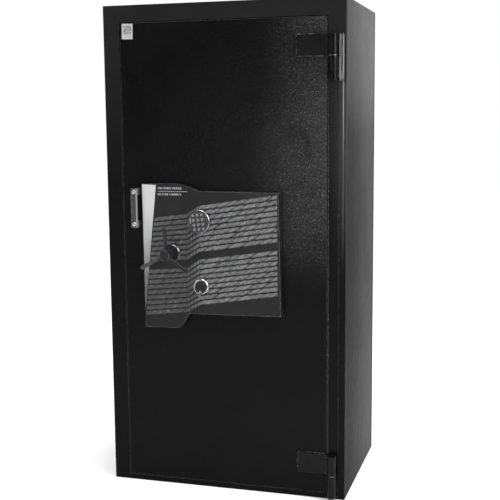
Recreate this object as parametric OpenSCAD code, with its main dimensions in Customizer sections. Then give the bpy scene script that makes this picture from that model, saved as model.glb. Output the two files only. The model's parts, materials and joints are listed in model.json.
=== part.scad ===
// Free-standing gun safe with one hinged door, a three-spoke handle that drives
// rack-and-pinion boltwork, a keypad lock and a key lock.
// +Z is up, the door faces -Y and the origin is at the centre of the base.

/* [Cabinet] */
// Overall width
body_w = 766; // [740:1:800]
// Overall depth, without the hinges and the handle
body_d = 516; // [480:1:560]
// Overall height
body_h = 1520; // [1500:1:1560]
// Thickness of the steel panels
panel_t = 3; // [2:0.5:4]
// Thickness of the fire boards behind the panels
board_t = 15; // [12:1:18]
// Thickness of the inner lining
liner_t = 1.5; // [1:0.5:2]

/* [Front frame] */
// Width of each side jamb
jamb_w = 53.5; // [50:0.5:56]
// Height of the top rail
rail_h = 51.5; // [48:0.5:55]
// Height of the bottom sill
sill_h = 17.5; // [16:0.5:20]
// Depth of the frame bars
frame_deep = 17; // [16:1:20]

/* [Door] */
// Thickness of the door plate
plate_t = 10; // [8:1:10]
// Gap between the door plate and the frame
door_gap = 2.5; // [2:0.5:3]
// Step from the edge of the door plate to the box behind it
pan_step = 28; // [28:1:34]
// Depth of the box behind the door plate
pan_deep = 70; // [66:1:76]
// Largest opening angle of the door
door_open = 175; // [90:5:175]

/* [Hinges] */
// Hinge axis, measured in from the right side of the cabinet
hinge_in = 37; // [36:1:38]
// Hinge axis, measured out from the front face
hinge_out = 15; // [15:1:18]
// Radius of the knuckles
knuckle_r = 14; // [12:1:14]
// Radius of the hinge pins
pin_r = 6; // [5:0.5:7]

/* [Boltwork] */
// Radius of the locking bolts
bolt_r = 12.5; // [10:0.5:13]
// Pitch radius of the pinion on the handle's spindle
pinion_r = 14; // [14:1:14]
// Angle that the handle turns
handle_turn = 90; // [60:5:90]

/* [Handle and locks] */
// Height of the handle's axis
handle_z = 758; // [750:1:780]
// Distance of the handle's axis left of the centre
handle_left = 161; // [155:1:165]
// Reach of a spoke from the handle's axis
spoke_reach = 88; // [80:1:90]
// Lean of the spokes away from the door
spoke_lean = 11; // [0:1:12]
// Radius of the keypad
keypad_r = 37; // [37:1:40]
// Travel of a key of the keypad
key_travel = 1.2; // [0.8:0.1:1.4]

/* [Hidden] */
$fn = 48;

// Cabinet
half_w = body_w / 2;
front = -body_d / 2;
back = body_d / 2;
frame_back = front + frame_deep;
open_half = half_w - jamb_w;
open_low = sill_h;
open_high = body_h - rail_h;
jamb_wall = 3;
face_wall = 5;
stop_t = 5;
stop_lip = 22;
in_half = half_w - panel_t - board_t;
in_low = panel_t + board_t;
in_high = body_h - panel_t - board_t;
in_front = frame_back + stop_t;
in_back = back - panel_t - board_t;
board_gap = 0.5;
anchor_x = 250;
anchor_y = 150;
anchor_r = 6.5;
bend_r = 2;
tiny = 0.01;

// Door
door_half = open_half - door_gap;
door_low = open_low + door_gap;
door_high = open_high - door_gap;
plate_back = front + plate_t;
pan_half = door_half - pan_step;
pan_low = door_low + pan_step;
pan_high = door_high - pan_step;
pan_back = plate_back + pan_deep;
pan_wall = 2;
post_r = 6;
fit_gap = 0.05;

// Hinges
hinge_x = half_w - hinge_in;
hinge_y = front - hinge_out;
hinge_low_z = 82;
hinge_high_z = 1353;
strap_h = 61;
strap_t = 8;
strap_left = 237;
washer_t = 2;
knuckle_h = 70;
pin_down = 64;
pin_up = 50;
recess_deep = 3;
recess_left = 331;
recess_right = 362;
recess_top = hinge_high_z + strap_h;

// Boltwork
gear_module = 2;
gear_teeth = 2 * pinion_r / gear_module;
gear_angle = 25;
gear_add = 0.9 * gear_module;
gear_ded = 1.15 * gear_module;
gear_slack = 0.15;
throw = pinion_r * handle_turn * PI / 180;
handle_x = -handle_left;
bolt_y = front + 53;
tip_out = 2;
tip_cut = 2;
bolt_long = 51;
carrier_t = 10;
guide_long = 20;
guide_wall = 4.5;
side_bolt_z = [for (i = [-2:2]) handle_z + 210 * i];
end_bolt_x = [-150, 150];
dead_bolt_z = [for (i = [0:3]) 290 + 300 * i];
rod_t = 8;
rod_y = front + 37;
rod_w = 15.7;
rack_t = 10;
rack_y = front + 53;
bar_half = 200;
bar_front = front + 33;
bar_back = front + 66;

// Locks behind the board
board_back = plate_back + 16;
lock_deep = 32;
swing_x = -88;
swing_z = 874;
swing_long = 34;
swing_half = 5;
swing_y = front + 41;
swing_t = 10;
swing_pin_r = 4;
block_right = -112;
block_h = 15;
key_bolt_z = 655.5;
key_bolt_h = 10;
key_throw = 14;
key_bolt_left = -123;
rod_right = handle_x + pinion_r + gear_ded + rod_w;

// Cover on the front
cover_deep = 25;
cover_front = front - cover_deep;
cover_skin = 4;
cover_outline = [
    [-256, 972], [-148, 975], [-105, 965.5], [-67, 951.5], [184, 950],
    [189, 572.5], [-105.5, 568], [-135.5, 521.5], [-253, 519]
];
cover_cavity = [
    [-251, 967], [-148, 970], [-106, 960.5], [-68, 946.5], [179, 945],
    [184, 577.5], [-108.5, 573], [-138.5, 526.5], [-248, 524]
];
wedge_outline = [[-255, 971.5], [-209, 969.5], [-251.5, 584]];
wedge_t = 3;
keypad_x = -68;
keypad_z = 860;
key_hole_x = -65.5;
key_hole_z = 655.5;
ring_deep = 12;
bush_r = 14;
passage_r = 6;
spindle_r = 10;
screw_r = 3;
button_w = 6.4;
button_h = 7;
button_corner = 1.8;
button_pitch_x = 14.6;
button_pitch_z = 14.8;
keypad_ring_w = 2.5;
keypad_tilt = 7;
grid_left = 1.2;
grid_drop = 2.2;
button_proud = 2.2;
flap_r = 17.5;
flap_t = 2.5;
flap_pin_z = key_hole_z + 21.5;
flap_pin_r = 2;
spoke_y = front - 76;
spoke_turn = 88;
hub_tip = front - 89;
label_w = 36;
label_h = 47;
pull_x = -276.5;
pull_low = 837;
pull_high = 958;
pull_w = 17;
pull_proud = 45;
pull_t = 11;
lug_h = 20;

steel_black = "#1c1c1d";
panel_grey = "#2b2b2d";
dark_grey = "#3a3a3c";
bright = "#c8cacc";
zinc = "#9b9c98";
board_white = "#d8d4c8";
felt = "#3c3f46";
moulded = "#262729";

// A box given by its low and high corners
module span(low, high) {
    translate(low) cube([for (i = [0:2]) high[i] - low[i]]);
}

// Copies its children at x and at -x
module both_sides() {
    children();
    mirror([1, 0, 0]) children();
}

// A cylinder along +Y from y0 to y1
module rod_along_y(x, z, y0, y1, r) {
    translate([x, y0, z]) rotate([-90, 0, 0]) cylinder(r = r, h = y1 - y0);
}

// A cylinder along +X from x0 to x1
module rod_along_x(x0, x1, y, z, r) {
    translate([x0, y, z]) rotate([0, 90, 0]) cylinder(r = r, h = x1 - x0);
}

// A cylinder along +Z from z0 to z1
module rod_along_z(x, y, z0, z1, r) {
    translate([x, y, z0]) cylinder(r = r, h = z1 - z0);
}

// A ring along +Y
module ring_along_y(x, z, y0, y1, r_out, r_in) {
    difference() {
        rod_along_y(x, z, y0, y1, r_out);
        rod_along_y(x, z, y0 - 1, y1 + 1, r_in);
    }
}

// An upright outline, given in x and z, that fills y0 to y1
module upright(y0, y1) {
    translate([0, y1, 0]) rotate([90, 0, 0]) linear_extrude(y1 - y0) children();
}

// Places of the four holes that anchor the safe to a floor
module at_anchors() {
    for (x = [-anchor_x, anchor_x])
        for (y = [-anchor_y, anchor_y])
            translate([x, y, 0]) children();
}

module anchor_holes() {
    at_anchors() rod_along_z(0, 0, -1, in_low + liner_t + 10, anchor_r);
}

// A bolt with a turned tip, from its tip at 0 along +Z
module bolt_shape() {
    rotate_extrude() polygon([
        [0, 0], [bolt_r - tip_cut, 0], [bolt_r, tip_cut], [bolt_r, bolt_long], [0, bolt_long]
    ]);
}

// ---- Cabinet ----

module side_panels() {
    color(panel_grey) both_sides()
        span([half_w - panel_t, frame_back, 0], [half_w, back, body_h]);
}

module top_panel() {
    color(panel_grey)
        span([-half_w + panel_t, frame_back, body_h - panel_t], [half_w - panel_t, back, body_h]);
}

module base_panel() {
    color(panel_grey) difference() {
        span([-half_w + panel_t, frame_back, 0], [half_w - panel_t, back, panel_t]);
        anchor_holes();
    }
}

module back_panel() {
    color(panel_grey) span(
        [-half_w + panel_t, back - panel_t, panel_t],
        [half_w - panel_t, back, body_h - panel_t]
    );
}

// A side jamb: a closed box with a bent outer corner
module jamb_shape() {
    difference() {
        linear_extrude(body_h) union() {
            translate([-half_w + bend_r, front]) square([jamb_w - bend_r, frame_deep]);
            translate([-half_w, front + bend_r]) square([jamb_w, frame_deep - bend_r]);
            translate([-half_w + bend_r, front + bend_r]) circle(bend_r);
        }
        span(
            [-half_w + jamb_wall, front + face_wall, jamb_wall],
            [-open_half - jamb_wall, frame_back - jamb_wall, body_h - jamb_wall]
        );
    }
}

module left_jamb() {
    color(steel_black) jamb_shape();
}

// The right jamb has a shallow recess in which the hinges sit
module right_jamb() {
    color(steel_black) difference() {
        mirror([1, 0, 0]) jamb_shape();
        span([recess_left, front - 1, 8], [recess_right, front + recess_deep, recess_top]);
    }
}

module top_rail() {
    color(steel_black) difference() {
        span([-open_half, front, open_high], [open_half, frame_back, body_h]);
        span(
            [-open_half - 1, front + face_wall, open_high + jamb_wall],
            [open_half + 1, frame_back - jamb_wall, body_h - jamb_wall]
        );
    }
}

module bottom_sill() {
    color(steel_black) difference() {
        span([-open_half, front, 0], [open_half, frame_back, open_low]);
        span(
            [-open_half - 1, front + face_wall, jamb_wall],
            [open_half + 1, frame_back - jamb_wall, open_low - jamb_wall]
        );
    }
}

// Flat bars behind the frame, against which the door closes
module door_stop() {
    color(steel_black) difference() {
        span([-in_half, frame_back, in_low], [in_half, in_front, in_high]);
        span(
            [-open_half + stop_lip, frame_back - 1, open_low + stop_lip],
            [open_half - stop_lip, in_front + 1, open_high - stop_lip]
        );
    }
}

// Rubber strip on the stop, just clear of the closed door
module door_seal() {
    seal_w = 10;
    seal_front = plate_back + 1;
    inset = stop_lip - seal_w - 0.5;
    color("#141414") difference() {
        span(
            [-open_half + inset, seal_front, open_low + inset],
            [open_half - inset, frame_back, open_high - inset]
        );
        span(
            [-open_half + inset + seal_w, seal_front - 1, open_low + inset + seal_w],
            [open_half - inset - seal_w, frame_back + 1, open_high - inset - seal_w]
        );
    }
}

// Five loose boards between the panels and the lining
module fire_boards() {
    color(board_white) {
        both_sides() span(
            [in_half, frame_back, panel_t],
            [half_w - panel_t, back - panel_t, body_h - panel_t]
        );
        span(
            [-in_half + board_gap, frame_back, in_high],
            [in_half - board_gap, back - panel_t, body_h - panel_t]
        );
        difference() {
            span(
                [-in_half + board_gap, frame_back, panel_t],
                [in_half - board_gap, back - panel_t, in_low]
            );
            anchor_holes();
        }
        span(
            [-in_half + board_gap, in_back, in_low + board_gap],
            [in_half - board_gap, back - panel_t, in_high - board_gap]
        );
    }
}

module inner_lining() {
    color(felt) difference() {
        span([-in_half, in_front, in_low], [in_half, in_back, in_high]);
        span(
            [-in_half + liner_t, in_front - 1, in_low + liner_t],
            [in_half - liner_t, in_back - liner_t, in_high - liner_t]
        );
        anchor_holes();
    }
}

// One welded lower knuckle, with its top at z
module frame_knuckle(z) {
    difference() {
        union() {
            rod_along_z(hinge_x, hinge_y, z - knuckle_h, z, knuckle_r);
            span(
                [hinge_x - knuckle_r, hinge_y, z - knuckle_h],
                [hinge_x + knuckle_r, front + recess_deep, z]
            );
        }
        rod_along_z(hinge_x, hinge_y, z - pin_down, z + 1, pin_r);
    }
}

module frame_hinges() {
    color(steel_black)
        for (z = [hinge_low_z, hinge_high_z]) frame_knuckle(z - washer_t);
}

module hinge_pins() {
    color(bright)
        for (z = [hinge_low_z, hinge_high_z])
            rod_along_z(hinge_x, hinge_y, z - washer_t - pin_down, z + pin_up, pin_r);
}

module hinge_washers() {
    color(zinc)
        for (z = [hinge_low_z, hinge_high_z]) difference() {
            rod_along_z(hinge_x, hinge_y, z - washer_t, z, knuckle_r - 2);
            rod_along_z(hinge_x, hinge_y, z - washer_t - 1, z + 1, pin_r + fit_gap);
        }
}

// ---- Inside fittings ----

shelf_z = 1210;
shelf_t = 18;
shelf_front = -120;
side_room = 3;
liner_in = in_half - liner_t;

module shelf() {
    color(felt) span(
        [-liner_in + side_room, shelf_front, shelf_z],
        [liner_in - side_room, in_back - liner_t - side_room, shelf_z + shelf_t]
    );
}

// Four clips under the shelf, fixed to the lining
module shelf_clips() {
    clip_w = 16;
    clip_t = 6;
    color(zinc) both_sides()
        for (y = [-80, 180])
            span([liner_in - clip_w, y, shelf_z - clip_t], [liner_in, y + 25, shelf_z]);
}

// Padded board across the back, with a notch for each barrel
module barrel_rack() {
    rack_z = 950;
    rack_h = 40;
    rack_deep = 70;
    notch_r = 17;
    notch_pitch = 95;
    rack_back = in_back - liner_t;
    color(felt) difference() {
        span(
            [-liner_in, rack_back - rack_deep, rack_z],
            [liner_in, rack_back, rack_z + rack_h]
        );
        for (i = [-3:3])
            translate([i * notch_pitch, rack_back - rack_deep, 0])
                rod_along_z(0, 0, rack_z - 1, rack_z + rack_h + 1, notch_r);
    }
}

// Carpet on the floor of the cabinet, with openings over the anchor holes
module floor_mat() {
    mat_t = 5;
    washer_r = 14;
    color(felt) difference() {
        span(
            [-liner_in + side_room, -165, in_low + liner_t],
            [liner_in - side_room, in_back - liner_t - side_room, in_low + liner_t + mat_t]
        );
        at_anchors() rod_along_z(0, 0, in_low, in_low + 20, washer_r);
    }
}

// ---- Door ----

// Places of the posts to which the back panel is screwed
module at_posts() {
    post_in = 14;
    for (x = [-pan_half + post_in, pan_half - post_in])
        for (z = [pan_low + post_in, pan_high - post_in])
            translate([x, 0, z]) children();
    for (z = [dead_bolt_z[0] + 150, dead_bolt_z[3] - 150])
        translate([pan_half - post_in, 0, z]) children();
}

// Openings for the handle's bush, the key and the keypad's wire, from y0 to y1
module door_passages(y0, y1) {
    rod_along_y(handle_x, handle_z, y0, y1, bush_r);
    rod_along_y(key_hole_x, key_hole_z, y0, y1, passage_r);
    rod_along_y(keypad_x, keypad_z, y0, y1, passage_r);
}

// Plate of the door, with the posts welded to its back
module door_plate() {
    color(steel_black) difference() {
        union() {
            span([-door_half, front, door_low], [door_half, plate_back, door_high]);
            at_posts() rod_along_y(0, 0, plate_back - 1, pan_back, post_r);
        }
        door_passages(front - 1, plate_back + 1);
    }
}

// Sheet-metal walls on the back of the plate, with a hole for every bolt
module door_box() {
    color(steel_black) difference() {
        span([-pan_half, plate_back, pan_low], [pan_half, pan_back, pan_high]);
        span(
            [-pan_half + pan_wall, plate_back - 1, pan_low + pan_wall],
            [pan_half - pan_wall, pan_back + 1, pan_high - pan_wall]
        );
        for (z = side_bolt_z)
            rod_along_x(-pan_half - 1, -pan_half + pan_wall + 1, bolt_y, z, bolt_r + 0.5);
        for (z = dead_bolt_z)
            rod_along_x(pan_half - pan_wall - 1, pan_half + 1, bolt_y, z, bolt_r);
        for (x = end_bolt_x) {
            rod_along_z(x, bolt_y, pan_low - 1, pan_low + pan_wall + 1, bolt_r + 0.5);
            rod_along_z(x, bolt_y, pan_high - pan_wall - 1, pan_high + 1, bolt_r + 0.5);
        }
    }
}

module door_board() {
    edge = pan_wall + 1;
    color(board_white) difference() {
        span(
            [-pan_half + edge, plate_back, pan_low + edge],
            [pan_half - edge, board_back, pan_high - edge]
        );
        door_passages(plate_back - 1, board_back + 1);
        at_posts() rod_along_y(0, 0, plate_back - 1, board_back + 1, post_r + 0.5);
    }
}

// Carpeted panel screwed to the posts over the boltwork
module door_back() {
    edge = 1;
    back_t = 4;
    color(felt) span(
        [-pan_half + edge, pan_back, pan_low + edge],
        [pan_half - edge, pan_back + back_t, pan_high - edge]
    );
}

// Strap and upper knuckle of one hinge, with its lower end at z
module door_hinge(z) {
    strap_clear = 1;
    difference() {
        union() {
            span([strap_left, front - strap_t, z], [door_half, front, z + strap_h]);
            span(
                [door_half - 1, front - strap_t - 2, z],
                [hinge_x, front - strap_clear, z + strap_h]
            );
            rod_along_z(hinge_x, hinge_y, z, z + strap_h, knuckle_r);
        }
        rod_along_z(hinge_x, hinge_y, z - 1, z + pin_up + 1, pin_r + fit_gap);
    }
}

module door_hinges() {
    color(steel_black)
        for (z = [hinge_low_z, hinge_high_z]) door_hinge(z);
}

// Fixed bolts on the hinge side, which hook behind the stop
module dead_bolts() {
    dead_out = 21;
    color(bright)
        for (z = dead_bolt_z)
            translate([pan_half + dead_out, bolt_y, z]) rotate([0, -90, 0]) bolt_shape();
}

// Collar in which one bolt slides, from 0 along +Z
module guide_shape() {
    difference() {
        cylinder(r = bolt_r + guide_wall, h = guide_long);
        translate([0, 0, -1]) cylinder(r = bolt_r + fit_gap, h = guide_long + 2);
    }
}

module bolt_guides() {
    color(zinc) {
        for (z = side_bolt_z)
            translate([-pan_half + pan_wall, bolt_y, z]) rotate([0, 90, 0]) guide_shape();
        for (x = end_bolt_x) {
            translate([x, bolt_y, pan_low + pan_wall]) guide_shape();
            translate([x, bolt_y, pan_high - pan_wall - guide_long]) guide_shape();
        }
    }
}

// Case of the keypad lock, open at its left side for the swinging bolt
module keypad_lock_case() {
    case_left = -100;
    case_w = 64;
    case_low = 818;
    case_h = 84;
    room = 0.6;
    color(zinc) union() {
        difference() {
            span(
                [case_left, board_back, case_low],
                [case_left + case_w, board_back + lock_deep, case_low + case_h]
            );
            span(
                [case_left - 1, swing_y - room, swing_z - swing_long - 3],
                [swing_x + 12, swing_y + swing_t + room, swing_z + 12]
            );
        }
        rod_along_y(swing_x, swing_z, swing_y - room - 1, swing_y + swing_t + room + 1, swing_pin_r);
    }
}

module key_lock_case() {
    case_left = -122;
    case_w = 82;
    case_low = 614;
    case_h = 84;
    room = 0.1;
    color(zinc) difference() {
        span(
            [case_left, board_back, case_low],
            [case_left + case_w, board_back + lock_deep, case_low + case_h]
        );
        span(
            [case_left - 1, rod_y - 1 - room, key_bolt_z - key_bolt_h / 2 - room],
            [case_left + 50, rod_y + rod_t + 1 + room, key_bolt_z + key_bolt_h / 2 + room]
        );
    }
}

// ---- Front of the door ----

module cover() {
    color(moulded) difference() {
        upright(cover_front, front) polygon(cover_outline);
        upright(cover_front + cover_skin, front + 1) polygon(cover_cavity);
        upright(cover_front - 1, cover_front + wedge_t) polygon(wedge_outline);
        door_passages(cover_front - 1, front + 1);
    }
}

module cover_wedge() {
    color(bright) upright(cover_front, cover_front + wedge_t) polygon(wedge_outline);
}

module label() {
    label_t = 0.4;
    color("white") translate([-302.5, front, 1440.5]) rotate([0, 1.5, 0])
        span([-label_w / 2, -label_t, -label_h / 2], [label_w / 2, 0, label_h / 2]);
}

module pull_bar() {
    color(dark_grey) difference() {
        span(
            [pull_x - pull_w / 2, front - pull_proud, pull_low],
            [pull_x + pull_w / 2, front - pull_proud + pull_t, pull_high]
        );
        for (z = [pull_low + lug_h / 2, pull_high - lug_h / 2])
            rod_along_y(pull_x, z, front - pull_proud - 1, front, screw_r);
    }
}

module pull_lugs() {
    lug_hole_end = 10;
    color(dark_grey)
        for (z = [pull_low + lug_h / 2, pull_high - lug_h / 2]) difference() {
            span(
                [pull_x - pull_w / 2 + 1, front - pull_proud + pull_t, z - lug_h / 2],
                [pull_x + pull_w / 2 - 1, front, z + lug_h / 2]
            );
            rod_along_y(pull_x, z, front - pull_proud, front - lug_hole_end, screw_r);
        }
}

// Dome-headed screws that hold the bar to its lugs
module pull_screws() {
    head_r = 6.8;
    head_h = 3.5;
    screw_long = 30;
    ball_r = (head_r * head_r + head_h * head_h) / (2 * head_h);
    color(bright)
        for (z = [pull_low + lug_h / 2, pull_high - lug_h / 2])
            translate([pull_x, front - pull_proud, z]) rotate([90, 0, 0]) union() {
                translate([0, 0, -screw_long]) cylinder(r = screw_r, h = screw_long + tiny);
                intersection() {
                    cylinder(r = head_r, h = head_h);
                    translate([0, 0, head_h - ball_r]) sphere(ball_r);
                }
            }
}

// Place of a key from the keypad's centre, by its column and row counted from the top left
function button_x(col) = (col - 1) * button_pitch_x - grid_left;
function button_z(row) = (1.5 - row) * button_pitch_z - grid_drop;
face_sunk = 3;
base_front = cover_front - ring_deep + face_sunk;
pocket_deep = 5;

// Rectangle with round corners about one key's place, from y0 to y1, grown all round
module button_block(col, row, y0, y1, grown) {
    half_w = button_w / 2 + grown;
    half_h = button_h / 2 + grown;
    corner = button_corner + grown;
    translate([keypad_x, 0, keypad_z]) rotate([0, -keypad_tilt, 0])
        translate([button_x(col), 0, button_z(row)]) union() {
            span([-half_w + corner, y0, -half_h], [half_w - corner, y1, half_h]);
            span([-half_w, y0, -half_h + corner], [half_w, y1, half_h - corner]);
            for (x = [-half_w + corner, half_w - corner])
                for (z = [-half_h + corner, half_h - corner])
                    rod_along_y(x, z, y0, y1, corner);
        }
}

module keypad_base() {
    slack = 0.25;
    color("#45474a") difference() {
        rod_along_y(keypad_x, keypad_z, base_front, cover_front, keypad_r - keypad_ring_w);
        for (col = [0:2])
            for (row = [0:3])
                button_block(col, row, base_front - 1, base_front + pocket_deep, slack);
    }
}

module keypad_ring() {
    inner_r = keypad_r - keypad_ring_w;
    color(bright)
        translate([keypad_x, cover_front, keypad_z]) rotate([90, 0, 0]) rotate_extrude() polygon([
            [inner_r, 0], [keypad_r, 0], [keypad_r, ring_deep - 3],
            [keypad_r - 1, ring_deep - 1], [keypad_r - 2, ring_deep], [inner_r, ring_deep - 1]
        ]);
}

// One key, which stands proud of the keypad and slides into its pocket
module button(col, row) {
    stem = 2;
    color("#b9bbbd") button_block(col, row, base_front - button_proud, base_front + stem, 0);
}

module key_ring() {
    ring_r = 25;
    ring_in = 18.5;
    ring_h = 6;
    pin_out = ring_h + flap_t + 1.5;
    color(bright) union() {
        translate([key_hole_x, cover_front, key_hole_z]) rotate([90, 0, 0]) rotate_extrude() polygon([
            [ring_in, 0], [ring_r, 0], [ring_r, ring_h - 3],
            [ring_r - 2, ring_h - 0.6], [ring_r - 3.5, ring_h], [ring_in, ring_h - 1]
        ]);
        rod_along_y(key_hole_x, flap_pin_z, cover_front - pin_out, cover_front - 3, flap_pin_r);
    }
}

// Hanging flap over the keyhole, with a finger tab at its foot
module key_flap() {
    flap_back = cover_front - 6.4;
    tab_z = key_hole_z - 26.5;
    color(moulded) difference() {
        union() {
            rod_along_y(key_hole_x, key_hole_z, flap_back - flap_t, flap_back, flap_r);
            rod_along_y(key_hole_x, flap_pin_z, flap_back - flap_t, flap_back, 4.5);
            span(
                [key_hole_x - 3.5, flap_back - flap_t, tab_z],
                [key_hole_x + 3.5, flap_back, key_hole_z - 10]
            );
            translate([key_hole_x, flap_back - flap_t + tiny, tab_z + 1]) rotate([90, 0, 0])
                rotate_extrude() polygon([[0, 0], [4.5, 0], [4.2, 5], [3, 8], [0, 9]]);
        }
        rod_along_y(key_hole_x, flap_pin_z, flap_back - flap_t - 1, flap_back + 1, flap_pin_r + fit_gap);
    }
}

// Polished ring round the handle, with the bush in which the spindle turns
module handle_ring() {
    ring_r = 28;
    ring_h = 5;
    bush_end = cover_front - board_back;
    color(bright)
        translate([handle_x, cover_front, handle_z]) rotate([90, 0, 0]) rotate_extrude() polygon([
            [spindle_r + fit_gap, bush_end], [bush_r, bush_end], [bush_r, 0], [ring_r, 0],
            [ring_r, ring_h - 3], [ring_r - 2.5, ring_h], [spindle_r + fit_gap, ring_h]
        ]);
}

// ---- Handle ----

spoke_neck = 5;
pinion_front = front + 31;
pinion_back = front + 60;
hub_cap = 6;

// Angle of an involute's polar point at radius r
function base_r() = pinion_r * cos(gear_angle);
function roll(r) = let (a = acos(min(1, base_r() / r))) tan(a) * 180 / PI - a;

// One flank of a tooth as polar points [radius, angle from the tooth's middle]
tooth_half = 90 / gear_teeth - gear_slack / 2 / pinion_r * 180 / PI;
flank_steps = 3;
function flank(side) = [
    for (i = [0:flank_steps])
        let (k = side > 0 ? i : flank_steps - i)
        let (low = max(base_r(), pinion_r - gear_ded))
        let (r = low + (pinion_r + gear_add - low) * k / flank_steps)
        [r, side * (roll(r) - roll(pinion_r) - tooth_half)]
];
function polar(p, turn) = [p[0] * cos(p[1] + turn), p[0] * sin(p[1] + turn)];

// Pinion outline, with a tooth towards the upright racks and a space towards the level one
module pinion_outline() {
    root = pinion_r - gear_ded;
    root_turn = 4;
    step = 360 / gear_teeth;
    polygon([
        for (i = [0:gear_teeth - 1])
            each concat(
                [polar([root, -step / 2 + root_turn], i * step)],
                [for (p = flank(1)) polar(p, i * step)],
                [for (p = flank(-1)) polar(p, i * step)],
                [polar([root, step / 2 - root_turn], i * step)]
            )
    ]);
}

// Spindle with the pinion cut on its inner end
module spindle() {
    color(zinc) union() {
        rod_along_y(handle_x, handle_z, hub_tip + hub_cap, pinion_back + 4, spindle_r);
        translate([handle_x, pinion_back, handle_z]) rotate([90, 0, 0])
            linear_extrude(pinion_back - pinion_front) pinion_outline();
    }
}

// Puts its children, which run along +Z, on the axes of the three spokes
module at_spokes() {
    for (i = [0:2])
        translate([handle_x, spoke_y, handle_z]) rotate([0, -spoke_turn - 120 * i, 0])
            rotate([0, 0, -spoke_lean]) rotate([0, 90, 0]) children();
}

// Turned hub with a cone at its foot and a nose with flats
module handle_hub() {
    foot = cover_front - 5.5;
    foot_deep = foot - hub_tip;
    foot_r = 25;
    neck_r = 18;
    flats_r = 19;
    nose_r = 15.5;
    cone_end = foot_deep - 22;
    color(dark_grey) difference() {
        translate([handle_x, foot, handle_z]) rotate([90, 0, 0]) union() {
            rotate_extrude() polygon([
                [0, 0], [foot_r, 0], [foot_r, 4], [foot_r - 2, 9],
                [neck_r, cone_end - 4], [neck_r, cone_end], [0, cone_end]
            ]);
            translate([0, 0, cone_end - 1]) rotate(spoke_turn - 90)
                cylinder(r = flats_r, h = 19, $fn = 6);
            translate([0, 0, foot_deep - 5]) cylinder(r = nose_r, h = 5);
        }
        rod_along_y(handle_x, handle_z, hub_tip + hub_cap, foot + 1, spindle_r);
        at_spokes() translate([0, 0, spindle_r / 2]) cylinder(r = spoke_neck, h = 30);
    }
}

// Three tapered spokes with rounded ends, screwed into the hub
module handle_spokes() {
    tip_r = 6.5;
    root = spindle_r + 2.5;
    neck_end = 28;
    color(dark_grey)
        at_spokes() rotate_extrude() polygon(concat(
            [[0, root], [spoke_neck, root], [spoke_neck, neck_end]],
            [for (a = [0:15:90]) [tip_r * cos(a), spoke_reach - tip_r + tip_r * sin(a)]]
        ));
}

// ---- Boltwork ----

// Rack teeth along +X with their tips towards -Z.
// The pitch line is z = 0 and the middle of one tooth is x = 0.
module rack_teeth(first, last, deep) {
    pitch = PI * gear_module;
    half_pitch_w = pitch / 4 - gear_slack / 2;
    tip_half = half_pitch_w - gear_add * tan(gear_angle);
    root_half = half_pitch_w + gear_ded * tan(gear_angle);
    for (i = [first:last])
        translate([i * pitch, 0, 0]) rotate([90, 0, 0]) linear_extrude(deep) polygon([
            [-root_half, gear_ded + tiny], [-tip_half, -gear_add],
            [tip_half, -gear_add], [root_half, gear_ded + tiny]
        ]);
}

module left_carrier() {
    bar_left = -pan_half - tip_out + bolt_long;
    arm_h = 18;
    arm_right = handle_x + 35;
    pitch_z = handle_z + pinion_r;
    color(zinc) union() {
        span([bar_left, bolt_y - 13, 300], [bar_left + carrier_t, bolt_y + 13, 1224]);
        span(
            [bar_left + carrier_t - tiny, rack_y - rack_t / 2, pitch_z + gear_ded],
            [arm_right, rack_y + rack_t / 2, pitch_z + gear_ded + arm_h]
        );
        translate([handle_x, rack_y + rack_t / 2, pitch_z]) rack_teeth(-2, 5, rack_t);
    }
}

module left_bolts() {
    color(bright)
        for (z = side_bolt_z)
            translate([-pan_half - tip_out, bolt_y, z]) rotate([0, 90, 0]) bolt_shape();
}

// Rod, cross bar, bolts and lock block of the upward set
module top_bolts() {
    root_x = handle_x + pinion_r + gear_ded;
    bar_z = pan_high + tip_out - bolt_long - carrier_t;
    notch_room = 1;
    color(zinc) union() {
        difference() {
            span([root_x, rod_y, 612], [rod_right, rod_y + rod_t, bar_z + tiny]);
            for (drop = [0, throw])
                span(
                    [rod_right - 10, rod_y - 1, key_bolt_z - key_bolt_h / 2 - notch_room - drop],
                    [rod_right + 1, rod_y + rod_t + 1, key_bolt_z + key_bolt_h / 2 + notch_room - drop]
                );
        }
        translate([root_x - gear_ded, rod_y + rod_t, handle_z]) rotate([0, 90, 0])
            translate([PI * gear_module / 2, 0, 0]) rack_teeth(-2, 4, rod_t);
        span([-bar_half, bar_front, bar_z], [bar_half, bar_back, bar_z + carrier_t]);
        span(
            [rod_right - tiny, rod_y, swing_z + swing_half + 0.5 - throw],
            [block_right, rod_y + rod_t, swing_z + swing_half + 0.5 - throw + block_h]
        );
        for (x = end_bolt_x)
            translate([x, bolt_y, pan_high + tip_out]) rotate([180, 0, 0]) bolt_shape();
    }
}

// Rod, cross bar and bolts of the downward set
module bottom_bolts() {
    root_x = handle_x - pinion_r - gear_ded;
    bar_top = pan_low - tip_out + bolt_long + carrier_t;
    color(zinc) union() {
        span([root_x - rod_w, rod_y, bar_top - tiny], [root_x, rod_y + rod_t, 802]);
        translate([root_x + gear_ded, rod_y + rod_t, handle_z]) rotate([0, -90, 0])
            translate([PI * gear_module / 2, 0, 0]) rack_teeth(-2, 4, rod_t);
        span([-bar_half, bar_front, bar_top - carrier_t], [bar_half, bar_back, bar_top]);
        for (x = end_bolt_x)
            translate([x, bolt_y, pan_low - tip_out]) bolt_shape();
    }
}

// Bolt of the keypad lock, which hangs inside its case when the bolts are drawn
module swing_bolt() {
    color("#b08d4c") difference() {
        union() {
            rod_along_y(swing_x, swing_z, swing_y, swing_y + swing_t, 8);
            span(
                [swing_x - swing_half, swing_y, swing_z - swing_long],
                [swing_x + swing_half, swing_y + swing_t, swing_z]
            );
        }
        rod_along_y(swing_x, swing_z, swing_y - 1, swing_y + swing_t + 1, swing_pin_r + fit_gap);
    }
}

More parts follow.
